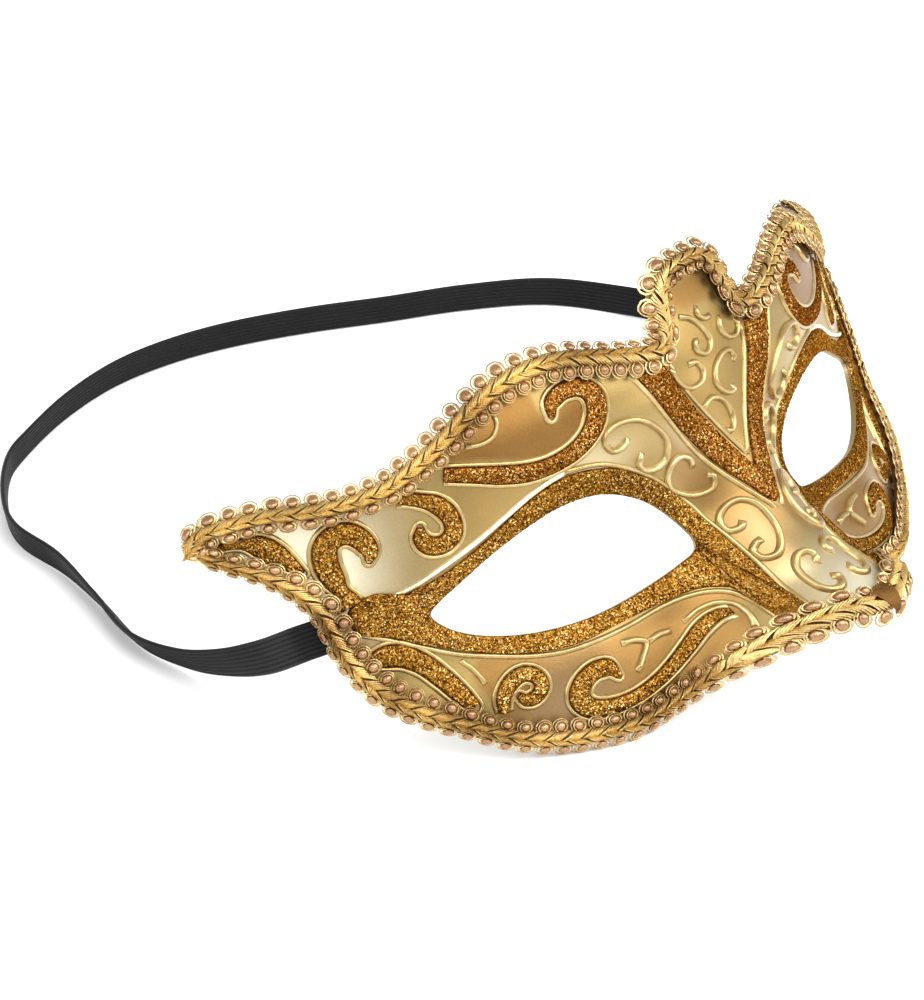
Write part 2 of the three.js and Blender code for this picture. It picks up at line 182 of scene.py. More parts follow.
class Build:
    """Collects grids of points, then makes one mesh piece of them."""

    def __init__(self):
        self.points, self.faces, self.looks, self.count = [], [], [], 0

    def faces_at(self, faces, look=0):
        self.faces.append(faces)
        self.looks.append(np.full(len(faces), look))

    def grids(self, p, look=0, closed_rows=False, closed_cols=False, caps=False, flip=False):
        """p is one grid (rows, cols, 3) or a stack of equal ones. Caps close both ends of a tube."""
        p = p.reshape(-1, *p.shape[-3:])
        k, rows, cols, _ = p.shape
        base = self.count + np.arange(k)[:, None, None] * rows * cols
        f = grid_faces(rows, cols, closed_rows, closed_cols)
        f = f[:, ::-1] if flip else f
        self.faces_at((base + f).reshape(-1, 4), look)
        if caps:
            a = np.arange(cols)
            b = (rows - 1) * cols + a
            a, b = (a, b[::-1]) if flip else (a[::-1], b)
            self.faces_at((base[:, 0] + a).reshape(-1, cols), look)
            self.faces_at((base[:, 0] + b).reshape(-1, cols), look)
        self.points.append(p.reshape(-1, 3))
        self.count += k * rows * cols

    def piece(self, name, materials, weld=False, sharp=50, fields=None):
        """One object at the origin. fields are values per point."""
        p = np.concatenate(self.points)
        faces = self.faces
        keep = np.arange(len(p))
        if weld:
            grid = np.round(p * WELD).astype(int)
            _, keep, same = np.unique(grid, axis=0, return_index=True, return_inverse=True)
            p = p[keep]
            faces = [same.reshape(-1)[f] for f in faces]
        mesh = bpy.data.meshes.new(name)
        loops = np.concatenate([f.reshape(-1) for f in faces])
        totals = np.concatenate([np.full(len(f), f.shape[1]) for f in faces])
        mesh.vertices.add(len(p))
        mesh.vertices.foreach_set("co", p.reshape(-1).astype(np.float32))
        mesh.loops.add(len(loops))
        mesh.loops.foreach_set("vertex_index", loops.astype(np.int32))
        mesh.polygons.add(len(totals))
        starts = np.concatenate([[0], np.cumsum(totals)[:-1]])
        mesh.polygons.foreach_set("loop_start", starts.astype(np.int32))
        mesh.polygons.foreach_set("material_index", np.concatenate(self.looks).astype(np.int32))
        mesh.update(calc_edges=True)
        mesh.validate()
        for key, value in (fields or {}).items():
            field = mesh.attributes.new(key, "FLOAT", "POINT")
            field.data.foreach_set("value", value[keep].astype(np.float32))
        mesh.polygons.foreach_set("use_smooth", np.ones(len(mesh.polygons), bool))
        mesh.set_sharp_from_angle(angle=math.radians(sharp))
        for material in materials:
            mesh.materials.append(material)
        piece = bpy.data.objects.new(name, mesh)
        bpy.context.collection.objects.link(piece)
        return piece


# ---------------------------------------------------------------- camera
def aim(obj, azimuth, elevation, distance, target):
    """Stands obj at a distance from the target, looking at it. Azimuth 0 looks along +Y."""
    a, e = math.radians(azimuth), math.radians(elevation)
    ahead = Vector((math.sin(a) * math.cos(e), math.cos(a) * math.cos(e), -math.sin(e)))
    obj.location = Vector(target) - ahead * distance
    obj.rotation_euler = ahead.to_track_quat("-Z", "Y").to_euler()


camera = bpy.data.objects.new("camera", bpy.data.cameras.new("camera"))
bpy.context.collection.objects.link(camera)
aim(camera, 51.3, 27.6, 0.9, (0, 0.05747, 0.00812))
camera.data.lens = 161.0
camera.data.sensor_width = 36.0
camera.data.clip_start = 0.01
bpy.context.scene.camera = camera
bpy.context.scene.view_settings.view_transform = "Standard"


# ---------------------------------------------------------------- materials
def wire(tree, kind, _set=None, **inputs):
    """Adds a node. Inputs are named by socket, _1 for the socket numbered 1, values or sockets."""
    node = tree.nodes.new(kind)
    for key, value in (_set or {}).items():
        setattr(node, key, value)
    for key, value in inputs.items():
        socket = node.inputs[int(key[1:]) if key[1:].isdigit() else key.replace("_", " ")]
        if isinstance(value, bpy.types.NodeSocket):
            tree.links.new(value, socket)
        else:
            socket.default_value = value
    return node


def maths(tree, operation, *values, kind="ShaderNodeMath"):
    sockets = {f"_{i}": value for i, value in enumerate(values)}
    return wire(tree, kind, {"operation": operation}, **sockets).outputs[0]


def vector(tree, operation, *values):
    return maths(tree, operation, *values, kind="ShaderNodeVectorMath")


def ramp(tree, value, *stops):
    """Colour ramp through (position, (r, g, b)) stops."""
    node = wire(tree, "ShaderNodeValToRGB", Fac=value)
    while len(node.color_ramp.elements) < len(stops):
        node.color_ramp.elements.new(0.5)
    for element, (position, colour) in zip(node.color_ramp.elements, stops):
        element.position = position
        element.color = (*colour, 1)
    return node.outputs[0]


def blend_colour(tree, factor, a, b):
    """Colour a where the factor is 0 and b where it is 1."""
    node = tree.nodes.new("ShaderNodeMix")
    node.data_type = "RGBA"
    for socket, value in ((node.inputs[0], factor), (node.inputs[6], a), (node.inputs[7], b)):
        if isinstance(value, bpy.types.NodeSocket):
            tree.links.new(value, socket)
        else:
            socket.default_value = value if isinstance(value, float) else (*value, 1)
    return node.outputs[2]


def group(name, inputs, outputs):
    """Empty node group with named sockets: (name, kind, default)."""
    tree = bpy.data.node_groups.new(name, "ShaderNodeTree")
    for key, kind, default in inputs:
        socket = tree.interface.new_socket(key, in_out="INPUT", socket_type=f"NodeSocket{kind}")
        if default is not None:
            socket.default_value = default
    for key, kind in outputs:
        tree.interface.new_socket(key, in_out="OUTPUT", socket_type=f"NodeSocket{kind}")
    return tree, tree.nodes.new("NodeGroupInput").outputs, tree.nodes.new("NodeGroupOutput").inputs


def make_grain():
    """Fine paint or fibre grain: a mottle, and the bump that goes with it."""
    tree, i, o = group(
        "fine_grain",
        [("Vector", "Vector", None), ("Scale", "Float", 900.0), ("Relief", "Float", 0.1)],
        [("Mottle", "Float"), ("Normal", "Vector")],
    )
    fine = wire(tree, "ShaderNodeTexNoise", Vector=i["Vector"], Scale=i["Scale"], Detail=4.0, Roughness=0.6)
    broad = wire(tree, "ShaderNodeTexNoise", Vector=i["Vector"], Scale=70.0, Detail=2.0)
    fine_share = maths(tree, "MULTIPLY", fine.outputs[0], 0.45)
    broad_share = maths(tree, "MULTIPLY", broad.outputs[0], 0.55)
    tree.links.new(maths(tree, "ADD", fine_share, broad_share), o["Mottle"])
    height = maths(tree, "MULTIPLY", fine.outputs[0], i["Relief"])
    bump = wire(tree, "ShaderNodeBump", Height=height, Distance=0.001, Strength=1.0)
    tree.links.new(bump.outputs[0], o["Normal"])
    return tree


def make_flakes():
    """Flakes set at every angle: a random number per flake, and its tilted normal."""
    tree, i, o = group(
        "flakes",
        [("Vector", "Vector", None), ("Scale", "Float", 2000.0), ("Tilt", "Float", 0.8)],
        [("Chance", "Float"), ("Normal", "Vector")],
    )
    cells = wire(tree, "ShaderNodeTexVoronoi", {"feature": "F1"}, Vector=i["Vector"], Scale=i["Scale"], Randomness=1.0)
    tilt = vector(tree, "SUBTRACT", cells.outputs["Color"], (0.5, 0.5, 0.5))
    scale = wire(tree, "ShaderNodeVectorMath", {"operation": "SCALE"}, _0=tilt, Scale=i["Tilt"]).outputs[0]
    up = wire(tree, "ShaderNodeNewGeometry").outputs["Normal"]
    tree.links.new(vector(tree, "NORMALIZE", vector(tree, "ADD", up, scale)), o["Normal"])
    split = wire(tree, "ShaderNodeSeparateColor", Color=cells.outputs["Color"])
    tree.links.new(split.outputs[1], o["Chance"])
    return tree


grain, flakes = make_grain(), make_flakes()


def finish(name, **sockets):
    """A Principled material with fixed values. Returns it with its tree, shader and coordinates."""
    material = bpy.data.materials.new(name)
    material.use_nodes = True
    tree = material.node_tree
    shader = tree.nodes["Principled BSDF"]
    for key, value in sockets.items():
        shader.inputs[key.replace("_", " ")].default_value = value
    return material, tree, shader, wire(tree, "ShaderNodeTexCoord").outputs["Object"]


def add_group(tree, kind, **inputs):
    node = tree.nodes.new("ShaderNodeGroup")
    node.node_tree = kind
    for key, value in inputs.items():
        if isinstance(value, bpy.types.NodeSocket):
            tree.links.new(value, node.inputs[key])
        else:
            node.inputs[key].default_value = value
    return node.outputs


def dress(tree, shader, colour, field, amount, base, normal):
    """Wires in a colour, a roughness of base plus amount times the field, and a normal."""
    tree.links.new(colour, shader.inputs["Base Color"])
    tree.links.new(maths(tree, "ADD", maths(tree, "MULTIPLY", field, amount), base), shader.inputs["Roughness"])
    tree.links.new(normal, shader.inputs["Normal"])


def gold_paint():
    """Champagne paint, airbrushed to bronze where the bronze field says so, and lightened as painted highlight where
    the painted_highlight field says so.
    """
    material, tree, shader, spot = finish("gold_paint", Metallic=0.92, Specular_IOR_Level=0.2)
    g = add_group(tree, grain, Vector=spot, Scale=2600.0, Relief=0.03)
    bronze = wire(tree, "ShaderNodeAttribute", {"attribute_name": "bronze"}).outputs["Fac"]
    # painted highlight: the painted_highlight field blends the paint towards highlight_cream where light falls on it
    painted_highlight = wire(tree, "ShaderNodeAttribute", {"attribute_name": "painted_highlight"}).outputs["Fac"]
    gold = ramp(tree, g["Mottle"], (0.3, (0.275, 0.188, 0.062)), (0.7, (0.375, 0.268, 0.10)))
    highlight_cream = ramp(tree, g["Mottle"], (0.3, (0.72, 0.65, 0.45)), (0.7, (0.88, 0.82, 0.63)))
    dark = ramp(tree, g["Mottle"], (0.3, (0.20, 0.095, 0.023)), (0.7, (0.28, 0.15, 0.045)))
    lit = blend_colour(tree, painted_highlight, gold, highlight_cream)
    dress(tree, shader, blend_colour(tree, bronze, lit, dark), g["Mottle"], 0.25, 0.24, g["Normal"])
    return material


def raised_paint(name, *colours):
    """Thick outline paint, glossier than the ground."""
    material, tree, shader, spot = finish(name, Metallic=0.75, Coat_Weight=0.25, Coat_Roughness=0.15)
    g = add_group(tree, grain, Vector=spot, Scale=420.0, Relief=0.08)
    colour = ramp(tree, g["Mottle"], *zip((0.32, 0.55, 0.7), colours))
    dress(tree, shader, colour, g["Mottle"], 0.3, 0.14, g["Normal"])
    return material


def glitter_glue(name, *colours):
    """Flakes that each take their own colour, from dark to bright, and their own tilt."""
    material, tree, shader, spot = finish(
        name, Metallic=0.95, Specular_IOR_Level=0.1, Specular_Tint=(0.7, 0.42, 0.12, 1)
    )
    f = add_group(tree, flakes, Vector=spot, Scale=4300.0, Tilt=0.75)
    drift = wire(tree, "ShaderNodeTexNoise", Vector=spot, Scale=90.0, Detail=2.0).outputs[0]
    chance = maths(tree, "ADD", maths(tree, "MULTIPLY", f["Chance"], 0.8), maths(tree, "MULTIPLY", drift, 0.2))
    colour = ramp(tree, chance, *zip((0.12, 0.38, 0.6, 0.8, 0.93), colours))
    dress(tree, shader, colour, f["Chance"], 0.3, 0.14, f["Normal"])
    return material


def metal_thread(name, low, high, rough, metal=0.85, coat=0.0):
    """Metallised thread or film: fine glints from a tight grain."""
    material, tree, shader, spot = finish(
        name, Metallic=metal, Coat_Weight=coat, Coat_Roughness=0.08, Specular_Tint=(0.9, 0.72, 0.42, 1)
    )
    g = add_group(tree, grain, Vector=spot, Scale=2600.0, Relief=0.12)
    dress(tree, shader, ramp(tree, g["Mottle"], (0.32, low), (0.68, high)), g["Mottle"], 0.3, rough - 0.14, g["Normal"])
    return material


def bare_plastic():
    """Bare white moulded plastic, faintly mottled, with a breath of overspray."""
    material, tree, shader, spot = finish("bare_plastic", Roughness=0.45, Specular_IOR_Level=0.5)
    g = add_group(tree, grain, Vector=spot, Scale=700.0, Relief=0.05)
    colour = ramp(tree, g["Mottle"], (0.3, (0.80, 0.78, 0.73)), (0.7, (0.90, 0.89, 0.86)))
    dress(tree, shader, colour, g["Mottle"], 0.3, 0.3, g["Normal"])
    return material


def ribbed_elastic():
    """Black woven elastic, with a fine weave over its modelled ribs."""
    material, tree, shader, spot = finish("ribbed_elastic", Specular_IOR_Level=0.12)
    g = add_group(tree, grain, Vector=spot, Scale=2600.0, Relief=0.1)
    colour = ramp(tree, g["Mottle"], (0.3, (0.0035, 0.0035, 0.004)), (0.7, (0.009, 0.009, 0.0095)))
    dress(tree, shader, colour, g["Mottle"], 0.2, 0.38, g["Normal"])
    return material


def staple_wire():
    """Bright drawn wire with fine scratches."""
    material, tree, shader, spot = finish("staple_wire", Metallic=1.0, Roughness=0.3)
    g = add_group(tree, grain, Vector=spot, Scale=3000.0, Relief=0.05)
    colour = ramp(tree, g["Mottle"], (0.3, (0.5, 0.5, 0.51)), (0.7, (0.75, 0.75, 0.76)))
    dress(tree, shader, colour, g["Mottle"], 0.3, 0.15, g["Normal"])
    return material


ground_paint = gold_paint()
outline_paint = raised_paint("outline_paint", (0.30, 0.19, 0.06), (0.44, 0.32, 0.13), (0.58, 0.46, 0.24))
cream_paint = raised_paint("cream_paint", (0.42, 0.32, 0.15), (0.74, 0.66, 0.46), (0.86, 0.80, 0.64))
glue = glitter_glue(
    "glitter_glue",
    (0.025, 0.009, 0.001), (0.12, 0.045, 0.005), (0.235, 0.10, 0.012), (0.40, 0.21, 0.034), (0.9, 0.68, 0.30),
)
copper_glue = glitter_glue(
    "copper_glitter",
    (0.022, 0.006, 0.001), (0.11, 0.034, 0.004), (0.195, 0.070, 0.010), (0.34, 0.155, 0.028), (0.85, 0.60, 0.24),
)
core_thread = metal_thread("core_thread", (0.24, 0.12, 0.03), (0.92, 0.70, 0.30), 0.3)
loop_thread = metal_thread("loop_thread", (0.26, 0.14, 0.04), (0.95, 0.75, 0.38), 0.27)
film_bead = metal_thread("film_bead", (0.17, 0.075, 0.03), (0.50, 0.31, 0.16), 0.16, 0.9, 0.45)
core_shade = metal_thread("core_shade", (0.07, 0.03, 0.008), (0.24, 0.12, 0.035), 0.45)
plastic, elastic, wire_steel = bare_plastic(), ribbed_elastic(), staple_wire()

# ---------------------------------------------------------------- elastic band
LOOP = [  # x, y, middle height, lean out
    (-82.2, 55.3, 15, 8), (-80.2, 67.4, 8.6, 22), (-78.5, 79.8, 4.4, 34), (-77.2, 92.2, 3.3, 40),
    (-70, 109, 3.4, 32), (-63.8, 125, 3.6, 22), (-60.6, 139.4, 3.6, 18), (-52.8, 150.8, 3.6, 8),
    (-39.5, 162.4, 3.6, -4), (-30, 166.6, 3.6, -9), (-12, 172.2, 3.6, -10), (6, 174.6, 3.6, -10),
    (21, 173, 3.6, -10), (35.2, 168.6, 3.6, -10), (52, 160, 3.6, -10), (67.3, 150, 3.6, -10),
    (83.4, 140, 3.6, -9), (97, 128, 3.6, -6), (104, 111.6, 3.6, 0), (104.4, 92, 5.5, 8),
    (100, 72, 9.6, 12), (92.4, 57.4, 15, 10),
]


def elastic_band():
    """Flat ribbed section carried along the band's line. Its width stands up, leaning outwards."""
    root = skin(BAND_ROOT, BAND_HEIGHT, -WALL - GAP - BAND_THICK / 2) * 1000
    lean0 = np.zeros((len(root), 1))
    rows = np.concatenate([
        np.hstack([root * [-1, 1, 1], lean0]),
        np.array([(x, y + SEAT[1], z, lean) for x, y, z, lean in LOOP]),
        np.hstack([root, lean0])[::-1],
    ])
    line = curve(rows, count=460)
    at = line[:, :3]
    step = np.linalg.norm(np.diff(at, axis=0), axis=1)
    s = np.concatenate([[0], np.cumsum(step)])
    ahead = np.gradient(at, axis=0)
    ahead /= np.linalg.norm(ahead, axis=1, keepdims=True)
    out = np.cross([0, 0, 1], ahead)
    out /= np.linalg.norm(out, axis=1, keepdims=True)
    lean = np.radians(line[:, 3:4])
    up = np.cos(lean) * [[0, 0, 1]] + np.sin(lean) * out
    near = smooth(np.minimum(s, s[-1] - s), 16, 40)[:, None]
    up = up * near + (1 - near) * [[0, math.sin(LEAN), math.cos(LEAN)]]
    up -= ahead * np.sum(up * ahead, 1, keepdims=True)
    up /= np.linalg.norm(up, axis=1, keepdims=True)
    flat = np.cross(ahead, up)
    w = np.linspace(-1, 1, 65)
    half = BAND_THICK / 2
    rib = half * (0.5 + 0.5 * np.abs(np.sin(np.pi * RIBS * (w + 1)))) * np.sqrt(1 - np.abs(w) ** 14)
    ring = np.concatenate([np.stack([w, rib], -1), np.stack([w[::-1], -rib[::-1]], -1)[1:-1]])
    p = at[:, None] + up[:, None] * ring[None, :, :1] * BAND_WIDTH / 2 + flat[:, None] * ring[None, :, 1:]
    b = Build()
    b.grids(p * 0.001, closed_cols=True, caps=True)
    return b.piece("elastic_band", [elastic]), at * 0.001, s[-1] * 0.001


band, band_line, band_length = elastic_band()
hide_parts("elastic_loop", "elastic_end_left", "elastic_end_right")
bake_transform(band)

# ---------------------------------------------------------------- lines drawn on the face, right half
EYE = curve([
    (17.2, -7.1), (20.9, -8.3), (27.7, -9.4), (37.4, -10), (47.8, -9.4), (57.9, -7.4), (66.6, -3.8),
    (71.1, 0), (72.3, 2.6), (70.1, 4.1), (65.5, 5.9), (57.7, 8.8), (48.7, 11.1), (42.1, 11.9),
    (34.5, 10.9), (27.5, 7.8), (21.7, 3.6), (17.6, -1.4), (16.3, -5),
], count=600, closed=True)


def eye(t):
    """Point of the eye hole at a share t of its length, from its inner lower corner."""
    i = np.mod(t, 1) * len(EYE)
    j = np.floor(i).astype(int)
    k = (i - j)[..., None]
    return EYE[j % len(EYE)] * (1 - k) + EYE[(j + 1) % len(EYE)] * k


LOWER_EDGE = [
    (0, -27.3, -0.01), (6.5, -26.1, 0), (13.4, -26.2, 0.02), (20.7, -28, 0.065), (29.4, -30.3, 0.125),
    (41.3, -31.4, 0.195), (49.7, -30.3, 0.265), (57.4, -28.3, 0.315), (65.2, -24.8, 0.36),
    (72.9, -19.2, 0.395), (80.2, -13.5, 0.42), (85.6, -7.3, 0.436), (88.7, 0.4, 0.446), (89.6, 5.3, 0.454),
    (90.2, 9.7, 0.461), (92.7, 14.9, 0.467), (97.2, 20.2, 0.471), (102.6, 24.6, 0.4735),
]
WING_TIP = [(106.6, 27.6, 0.4745), (107.3, 29.2, 0.4755), (105.6, 30.9, 0.477)]
UPPER_EDGE = [
    (100.3, 31.1, 0.483), (93.6, 30.6, 0.49), (85.8, 28.6, 0.5), (79.2, 27.5, 0.515), (72.3, 27.7, 0.54),
    (65.1, 29.8, 0.568), (57.8, 33, 0.608), (51.6, 36, 0.65), (44.4, 38.1, 0.705), (35.2, 37.9, 0.78),
    (27.8, 35.7, 0.84), (20.3, 33, 0.9), (14, 31.5, 0.93), (11, 32.8, 0.9475), (9.3, 37, 0.957),
    (8.1, 40.5, 0.964), (5.2, 43.6, 0.971), (0, 44.5, 0.975),
]
# round the face, up the face, half width
CURLS = {
    "brow_curl_glitter": [
        (61.8, 26.1, 1.2), (56.7, 24.1, 1.4), (51.8, 22.1, 1.6), (46.8, 20.6, 1.6), (41.8, 20.2, 1.5),
        (36.8, 21, 1.6), (33, 23, 1.8), (30.7, 25.8, 2), (30.2, 29, 2), (32, 31.4, 1.7), (35.5, 32, 1.5),
        (38.6, 30.7, 1.3), (39.4, 28.5, 0.5),
    ],
    "temple_curl_glitter": [
        (67, 23.1, 1.2), (64.6, 21.2, 1.6), (63.1, 18, 1.6), (63.7, 15.2, 1.6), (66.2, 14, 1.6),
        (68.7, 15, 1.6), (69.4, 16.9, 1.3), (68.9, 18.5, 0.5),
    ],
    "wing_curl_glitter": [
        (85.6, 12.6, 1.2), (86.1, 15, 1.8), (86.5, 18, 2.1), (85.7, 21.2, 2.1), (83.5, 22.7, 2),
        (81, 22.2, 1.9), (79.2, 20, 1.7), (78.7, 17.6, 1.3), (79.3, 16.2, 0.5),
    ],
    "wing_tip_glitter": [
        (100.4, 27.4, 0.6), (98.4, 27, 1), (96, 25.6, 1.9), (94, 23.2, 2), (92, 20.4, 1.2),
        (90.6, 18.2, 0.5),
    ],
    "cheek_hook_glitter": [
        (83.8, -1.5, 1.6), (82, -1.7, 2), (79.6, -2.6, 2), (76.8, -5.2, 1.8), (74.2, -9.2, 1.7),
        (72, -13.4, 1.5), (70.6, -16.2, 1),
    ],
    "cheek_spiral_glitter": [
        (65.9, -19.4, 0.9), (65.2, -16.8, 1.3), (62.9, -14.6, 1.4), (60.2, -14.1, 1.3), (58.2, -15.4, 1.3),
        (57.8, -17.4, 1.3), (59.5, -18.9, 1.2), (61.5, -18.7, 1), (62.4, -17.5, 0.5),
    ],
    "cheek_curl_glitter": [
        (17.3, -19.6, 0.5), (20, -19.6, 0.9), (23.3, -20.7, 1.2), (27, -22.8, 1.3), (31.4, -24.9, 1.3),
        (36.9, -26.4, 1.2), (42.8, -26.8, 1.2), (47.7, -26.2, 1.5), (50.8, -24.8, 1.8), (51.9, -22.6, 2),
        (50.5, -20.2, 1.8), (47.4, -18.9, 1.6), (44.4, -19.6, 1.4), (43, -21.8, 0.5),
    ],
}
# share of the eye hole, then the glitter's outer line
EYE_RIM = [
    (0, 15.4, -15.7), (0.03, 19.4, -14.1), (0.09, 27.9, -13.5), (0.18, 39.2, -13.3), (0.27, 50.1, -13),
    (0.345, 59.9, -10.4), (0.4, 68.2, -6.5), (0.44, 75.6, -2), (0.462, 80.8, 1.6), (0.47, 84.8, 3.4),
    (0.478, 86.3, 5.8), (0.486, 85.6, 8.9), (0.5, 80.9, 10.1), (0.525, 75.6, 8.2), (0.56, 68.1, 8.7),
    (0.62, 58.3, 11.6), (0.69, 48.8, 15.4), (0.76, 40.3, 17), (0.83, 31.3, 15.1), (0.89, 23.7, 10.7),
    (0.94, 17.4, 5.1), (0.966, 13.9, 0.1), (0.982, 11.3, -8.3), (0.988, 10, -15.2), (0.991, 9.8, -24.4),
    (0.994, 13, -24.2), (0.997, 13.8, -18.4),
]
VEE_OUT = [(20.3, 28.6), (17.6, 22.9), (14.6, 17.4), (11.2, 12.2), (7.6, 6.3), (3.9, 0.6), (0, -4.8)]
VEE_IN = [(12.4, 28), (11, 23.2), (9.2, 19.4), (7, 15.6), (4.4, 11), (2.1, 6.8), (0, 3.4)]


def within(a, z, outline, soft):
    """1 inside an outline and 0 outside, easing over a soft distance at its line."""
    line = curve(outline, count=160, closed=True)
    p, q = line, np.roll(line, -1, 0)
    inside = np.zeros(a.shape, bool)
    near = np.full(a.shape, 1e9)
    for (x0, y0), (x1, y1) in zip(p, q):
        crosses = (y0 > z) != (y1 > z)
        inside ^= crosses & (a < (x1 - x0) * (z - y0) / (y1 - y0 + 1e-12) + x0)
        near = np.minimum(near, (a - x0) ** 2 + (z - y0) ** 2)
    near = np.sqrt(near) * np.where(inside, 1, -1)
    return smooth(near, -soft, soft)


BRONZE = [  # outline, how dark, how soft
    ([(60.7, 28), (55.5, 26.5), (49.5, 24.2), (44.5, 22.3), (39.5, 21.5), (34.3, 22.9), (32.3, 26.6),
      (33.3, 30.1), (36.3, 30.5), (38.8, 27.6), (41, 29.5), (42.1, 34.3), (49, 35.3), (56.4, 32.4)], 1.0, 0.8),
    ([(15.7, -16.2), (22.6, -14.6), (34.2, -14.9), (47.2, -14.2), (57.6, -12), (66, -8.5), (69, -10.4),
      (66.8, -17.7), (65.7, -25.8), (49, -32), (32.4, -33.2), (22, -29.9), (16.6, -25)], 0.8, 1.2),
    ([(12, 29), (9.6, 20.4), (6.6, 15), (3.6, 9.6), (0, 4.6), (-3.6, 9.6), (-6.6, 15), (-9.6, 20.4), (-12, 29),
      (0, 34)], 0.25, 1.5),
    ([(60, 25), (50, 20), (44, 17.8), (56, 14.8), (62, 13), (64, 18)], 0.3, 2.0),
    ([(0, -6), (4, 0.5), (8.2, 6), (12.5, 12), (17, 16), (17.5, 9), (13.4, 1), (11.6, -6), (10.4, -14), (4, -14)],
     0.7, 2.2),
    ([(-4, 40.5), (4, 40.5), (5, 36.5), (0, 35), (-5, 36.5)], 0.8, 1.2),
]
PAINTED_HIGHLIGHTS = [  # painted highlight blobs, where light falls on the paint: round the face, up the face, half lengths of the blob, how strong the painted highlight
    (99, 26, 18, 14, 1.0), (86, 16, 9, 10, 0.85), (72, 4, 6, 4, 0.3), (34, 16, 9, 5, 0.4), (0, -24, 8, 7, 1.0),
    (54, -22, 9, 7, 0.6), (14, 12, 4, 6, 0.3), (6, -9, 4, 6, 0.3),
]


def mask_moulding():
    """Sheet between the eye hole and the edge on each side of the middle line, with a back and rims."""
    edge = curve(LOWER_EDGE + WING_TIP + UPPER_EDGE, count=560)
    n = sideways(edge)
    rim = np.hstack([edge[:, :2] + n * EDGE, edge[:, 2:]])
    rim[[0, -1], 0] = 0
    rim[0, 1], rim[-1, 1] = edge[0, 1] - EDGE, edge[-1, 1] + EDGE
    k = np.linspace(0, 1, 90)[1:-1]
    middle = np.stack([0 * k, rim[-1, 1] + (rim[0, 1] - rim[-1, 1]) * k, 0.975 + 0.015 * k], -1)
    ring = np.concatenate([rim, middle])
    wall = np.arange(len(ring)) < len(rim) - 1
    inner = eye(ring[:, 2])
    b = Build()
    bronze, painted_highlight = [], []
    for side in (-1, 1):
        grids = []
        for share, lift in ((np.linspace(0, 1, 46), 0), (np.linspace(0, 1, 14), -WALL)):
            p = inner + (ring[:, :2] - inner) * share[:, None, None]
            grids.append(skin(side * p[..., 0], p[..., 1], lift))
            a = p[..., 0]
            shade = np.zeros(a.shape)
            for outline, dark, soft in BRONZE:
                shade = np.maximum(shade, dark * within(a, p[..., 1], outline, soft))
            bronze.append(shade.reshape(-1))
            # painted highlight: blobs of lightening where light falls on the paint, read by gold_paint
            light = np.zeros(a.shape)
            for u0, z0, wide, high, much in PAINTED_HIGHLIGHTS:
                light += much * np.exp(-(((a - u0) / wide) ** 2) - ((p[..., 1] - z0) / high) ** 2)
            painted_highlight.append(np.clip(light, 0, 1).reshape(-1))
        face, back = grids
        b.grids(face, closed_cols=True, flip=side < 0)
        b.grids(back, look=1, closed_cols=True, flip=side > 0)
        cols = len(ring)
        first = b.count - back.shape[0] * cols - face.shape[0] * cols
        i = np.arange(cols)
        j = (i + 1) % cols
        f0, b0 = first, first + face.shape[0] * cols
        f1, b1 = b0 - cols, b.count - cols
        hole = np.stack([f0 + i, b0 + i, b0 + j, f0 + j], -1)
        rims = np.stack([f1 + i, f1 + j, b1 + j, b1 + i], -1)[wall]
        for f in (hole, rims):
            b.faces_at(f[:, ::-1] if side < 0 else f)
    return b.piece("mask_moulding", [ground_paint, plastic], weld=True,
                   fields={"bronze": np.concatenate(bronze), "painted_highlight": np.concatenate(painted_highlight)})


def glitter_sheet(b, p, side):
    """Closed crust of glitter over a grid (along, across, 2) drawn on the face: a low dome, rough
    with grit, whose border turns down onto the shell."""
    rows, cols, _ = p.shape
    k = np.linspace(-1, 1, cols)
    dome = 0.62 + 0.22 * (1 - k**2)
    lift = dome + rng.normal(0, 0.075, (rows, cols))
    lift[:, [0, -1]] = -0.1
    top = skin(side * p[..., 0], p[..., 1], lift)
    under = skin(side * p[:, [-1, 0], 0], p[:, [-1, 0], 1], -0.4)
    return np.concatenate([top, under], 1)


def strip(rows, step, across, widen=0.0):
    """Grid of points across a drawn line (a, z, half width)."""
    line = curve(rows, step=step)
    k = np.linspace(-1, 1, across)
    return line[:, None, :2] + sideways(line)[:, None] * k[:, None] * (line[:, None, 2:3] + widen)


RUN_ON = {  # where a curl's glitter runs on into the rim or under the braid
    "wing_curl_glitter": [(84.8, 9.4, 1.9), (85.2, 11, 1.7)],
    "temple_curl_glitter": [(71.6, 24.6, 0.5), (69.6, 24.4, 1.0)],
    "wing_tip_glitter": [(103, 27.6, 0.5)],
    "cheek_hook_glitter": [(85.6, -1.4, 1)],
}


def glitter_curl(name, rows, side):
    b = Build()
    w = max(r[2] for r in rows)
    p = strip(rows, 0.24, max(9, int(2 * w / 0.24)), 0.1)
    b.grids(glitter_sheet(b, p, side), closed_cols=True, caps=True, flip=side > 0)
    return b.piece(name + "_crust", [copper_glue if "brow" in name else glue], sharp=80)


def eye_rim(name, side):
    b = Build()
    rim = curve([(a, z, t) for t, a, z in EYE_RIM] + [(EYE_RIM[0][1], EYE_RIM[0][2], 1.0)], count=640)[:-1]
    inner = eye(rim[:, 2])
    k = np.linspace(0, 1, 26)[:, None]
    p = inner[:, None] + (rim[:, None, :2] - inner[:, None]) * k
    b.grids(glitter_sheet(b, p, side), closed_rows=True, closed_cols=True, flip=side < 0)
    return b.piece(name + "_crust", [glue], sharp=80)


def forehead_vee():
    b = Build()
    mirror = lambda line: list(line) + [(-a, z) for a, z in line[-2::-1]]
    outer, inner = curve(mirror(VEE_OUT), count=300), curve(mirror(VEE_IN), count=300)
    k = np.linspace(0, 1, 20)[:, None]
    p = outer[:, None] + (inner[:, None] - outer[:, None]) * k
    b.grids(glitter_sheet(b, p, 1), closed_cols=True, caps=True, flip=True)
    return b.piece("forehead_v_glitter_crust", [copper_glue], sharp=80)


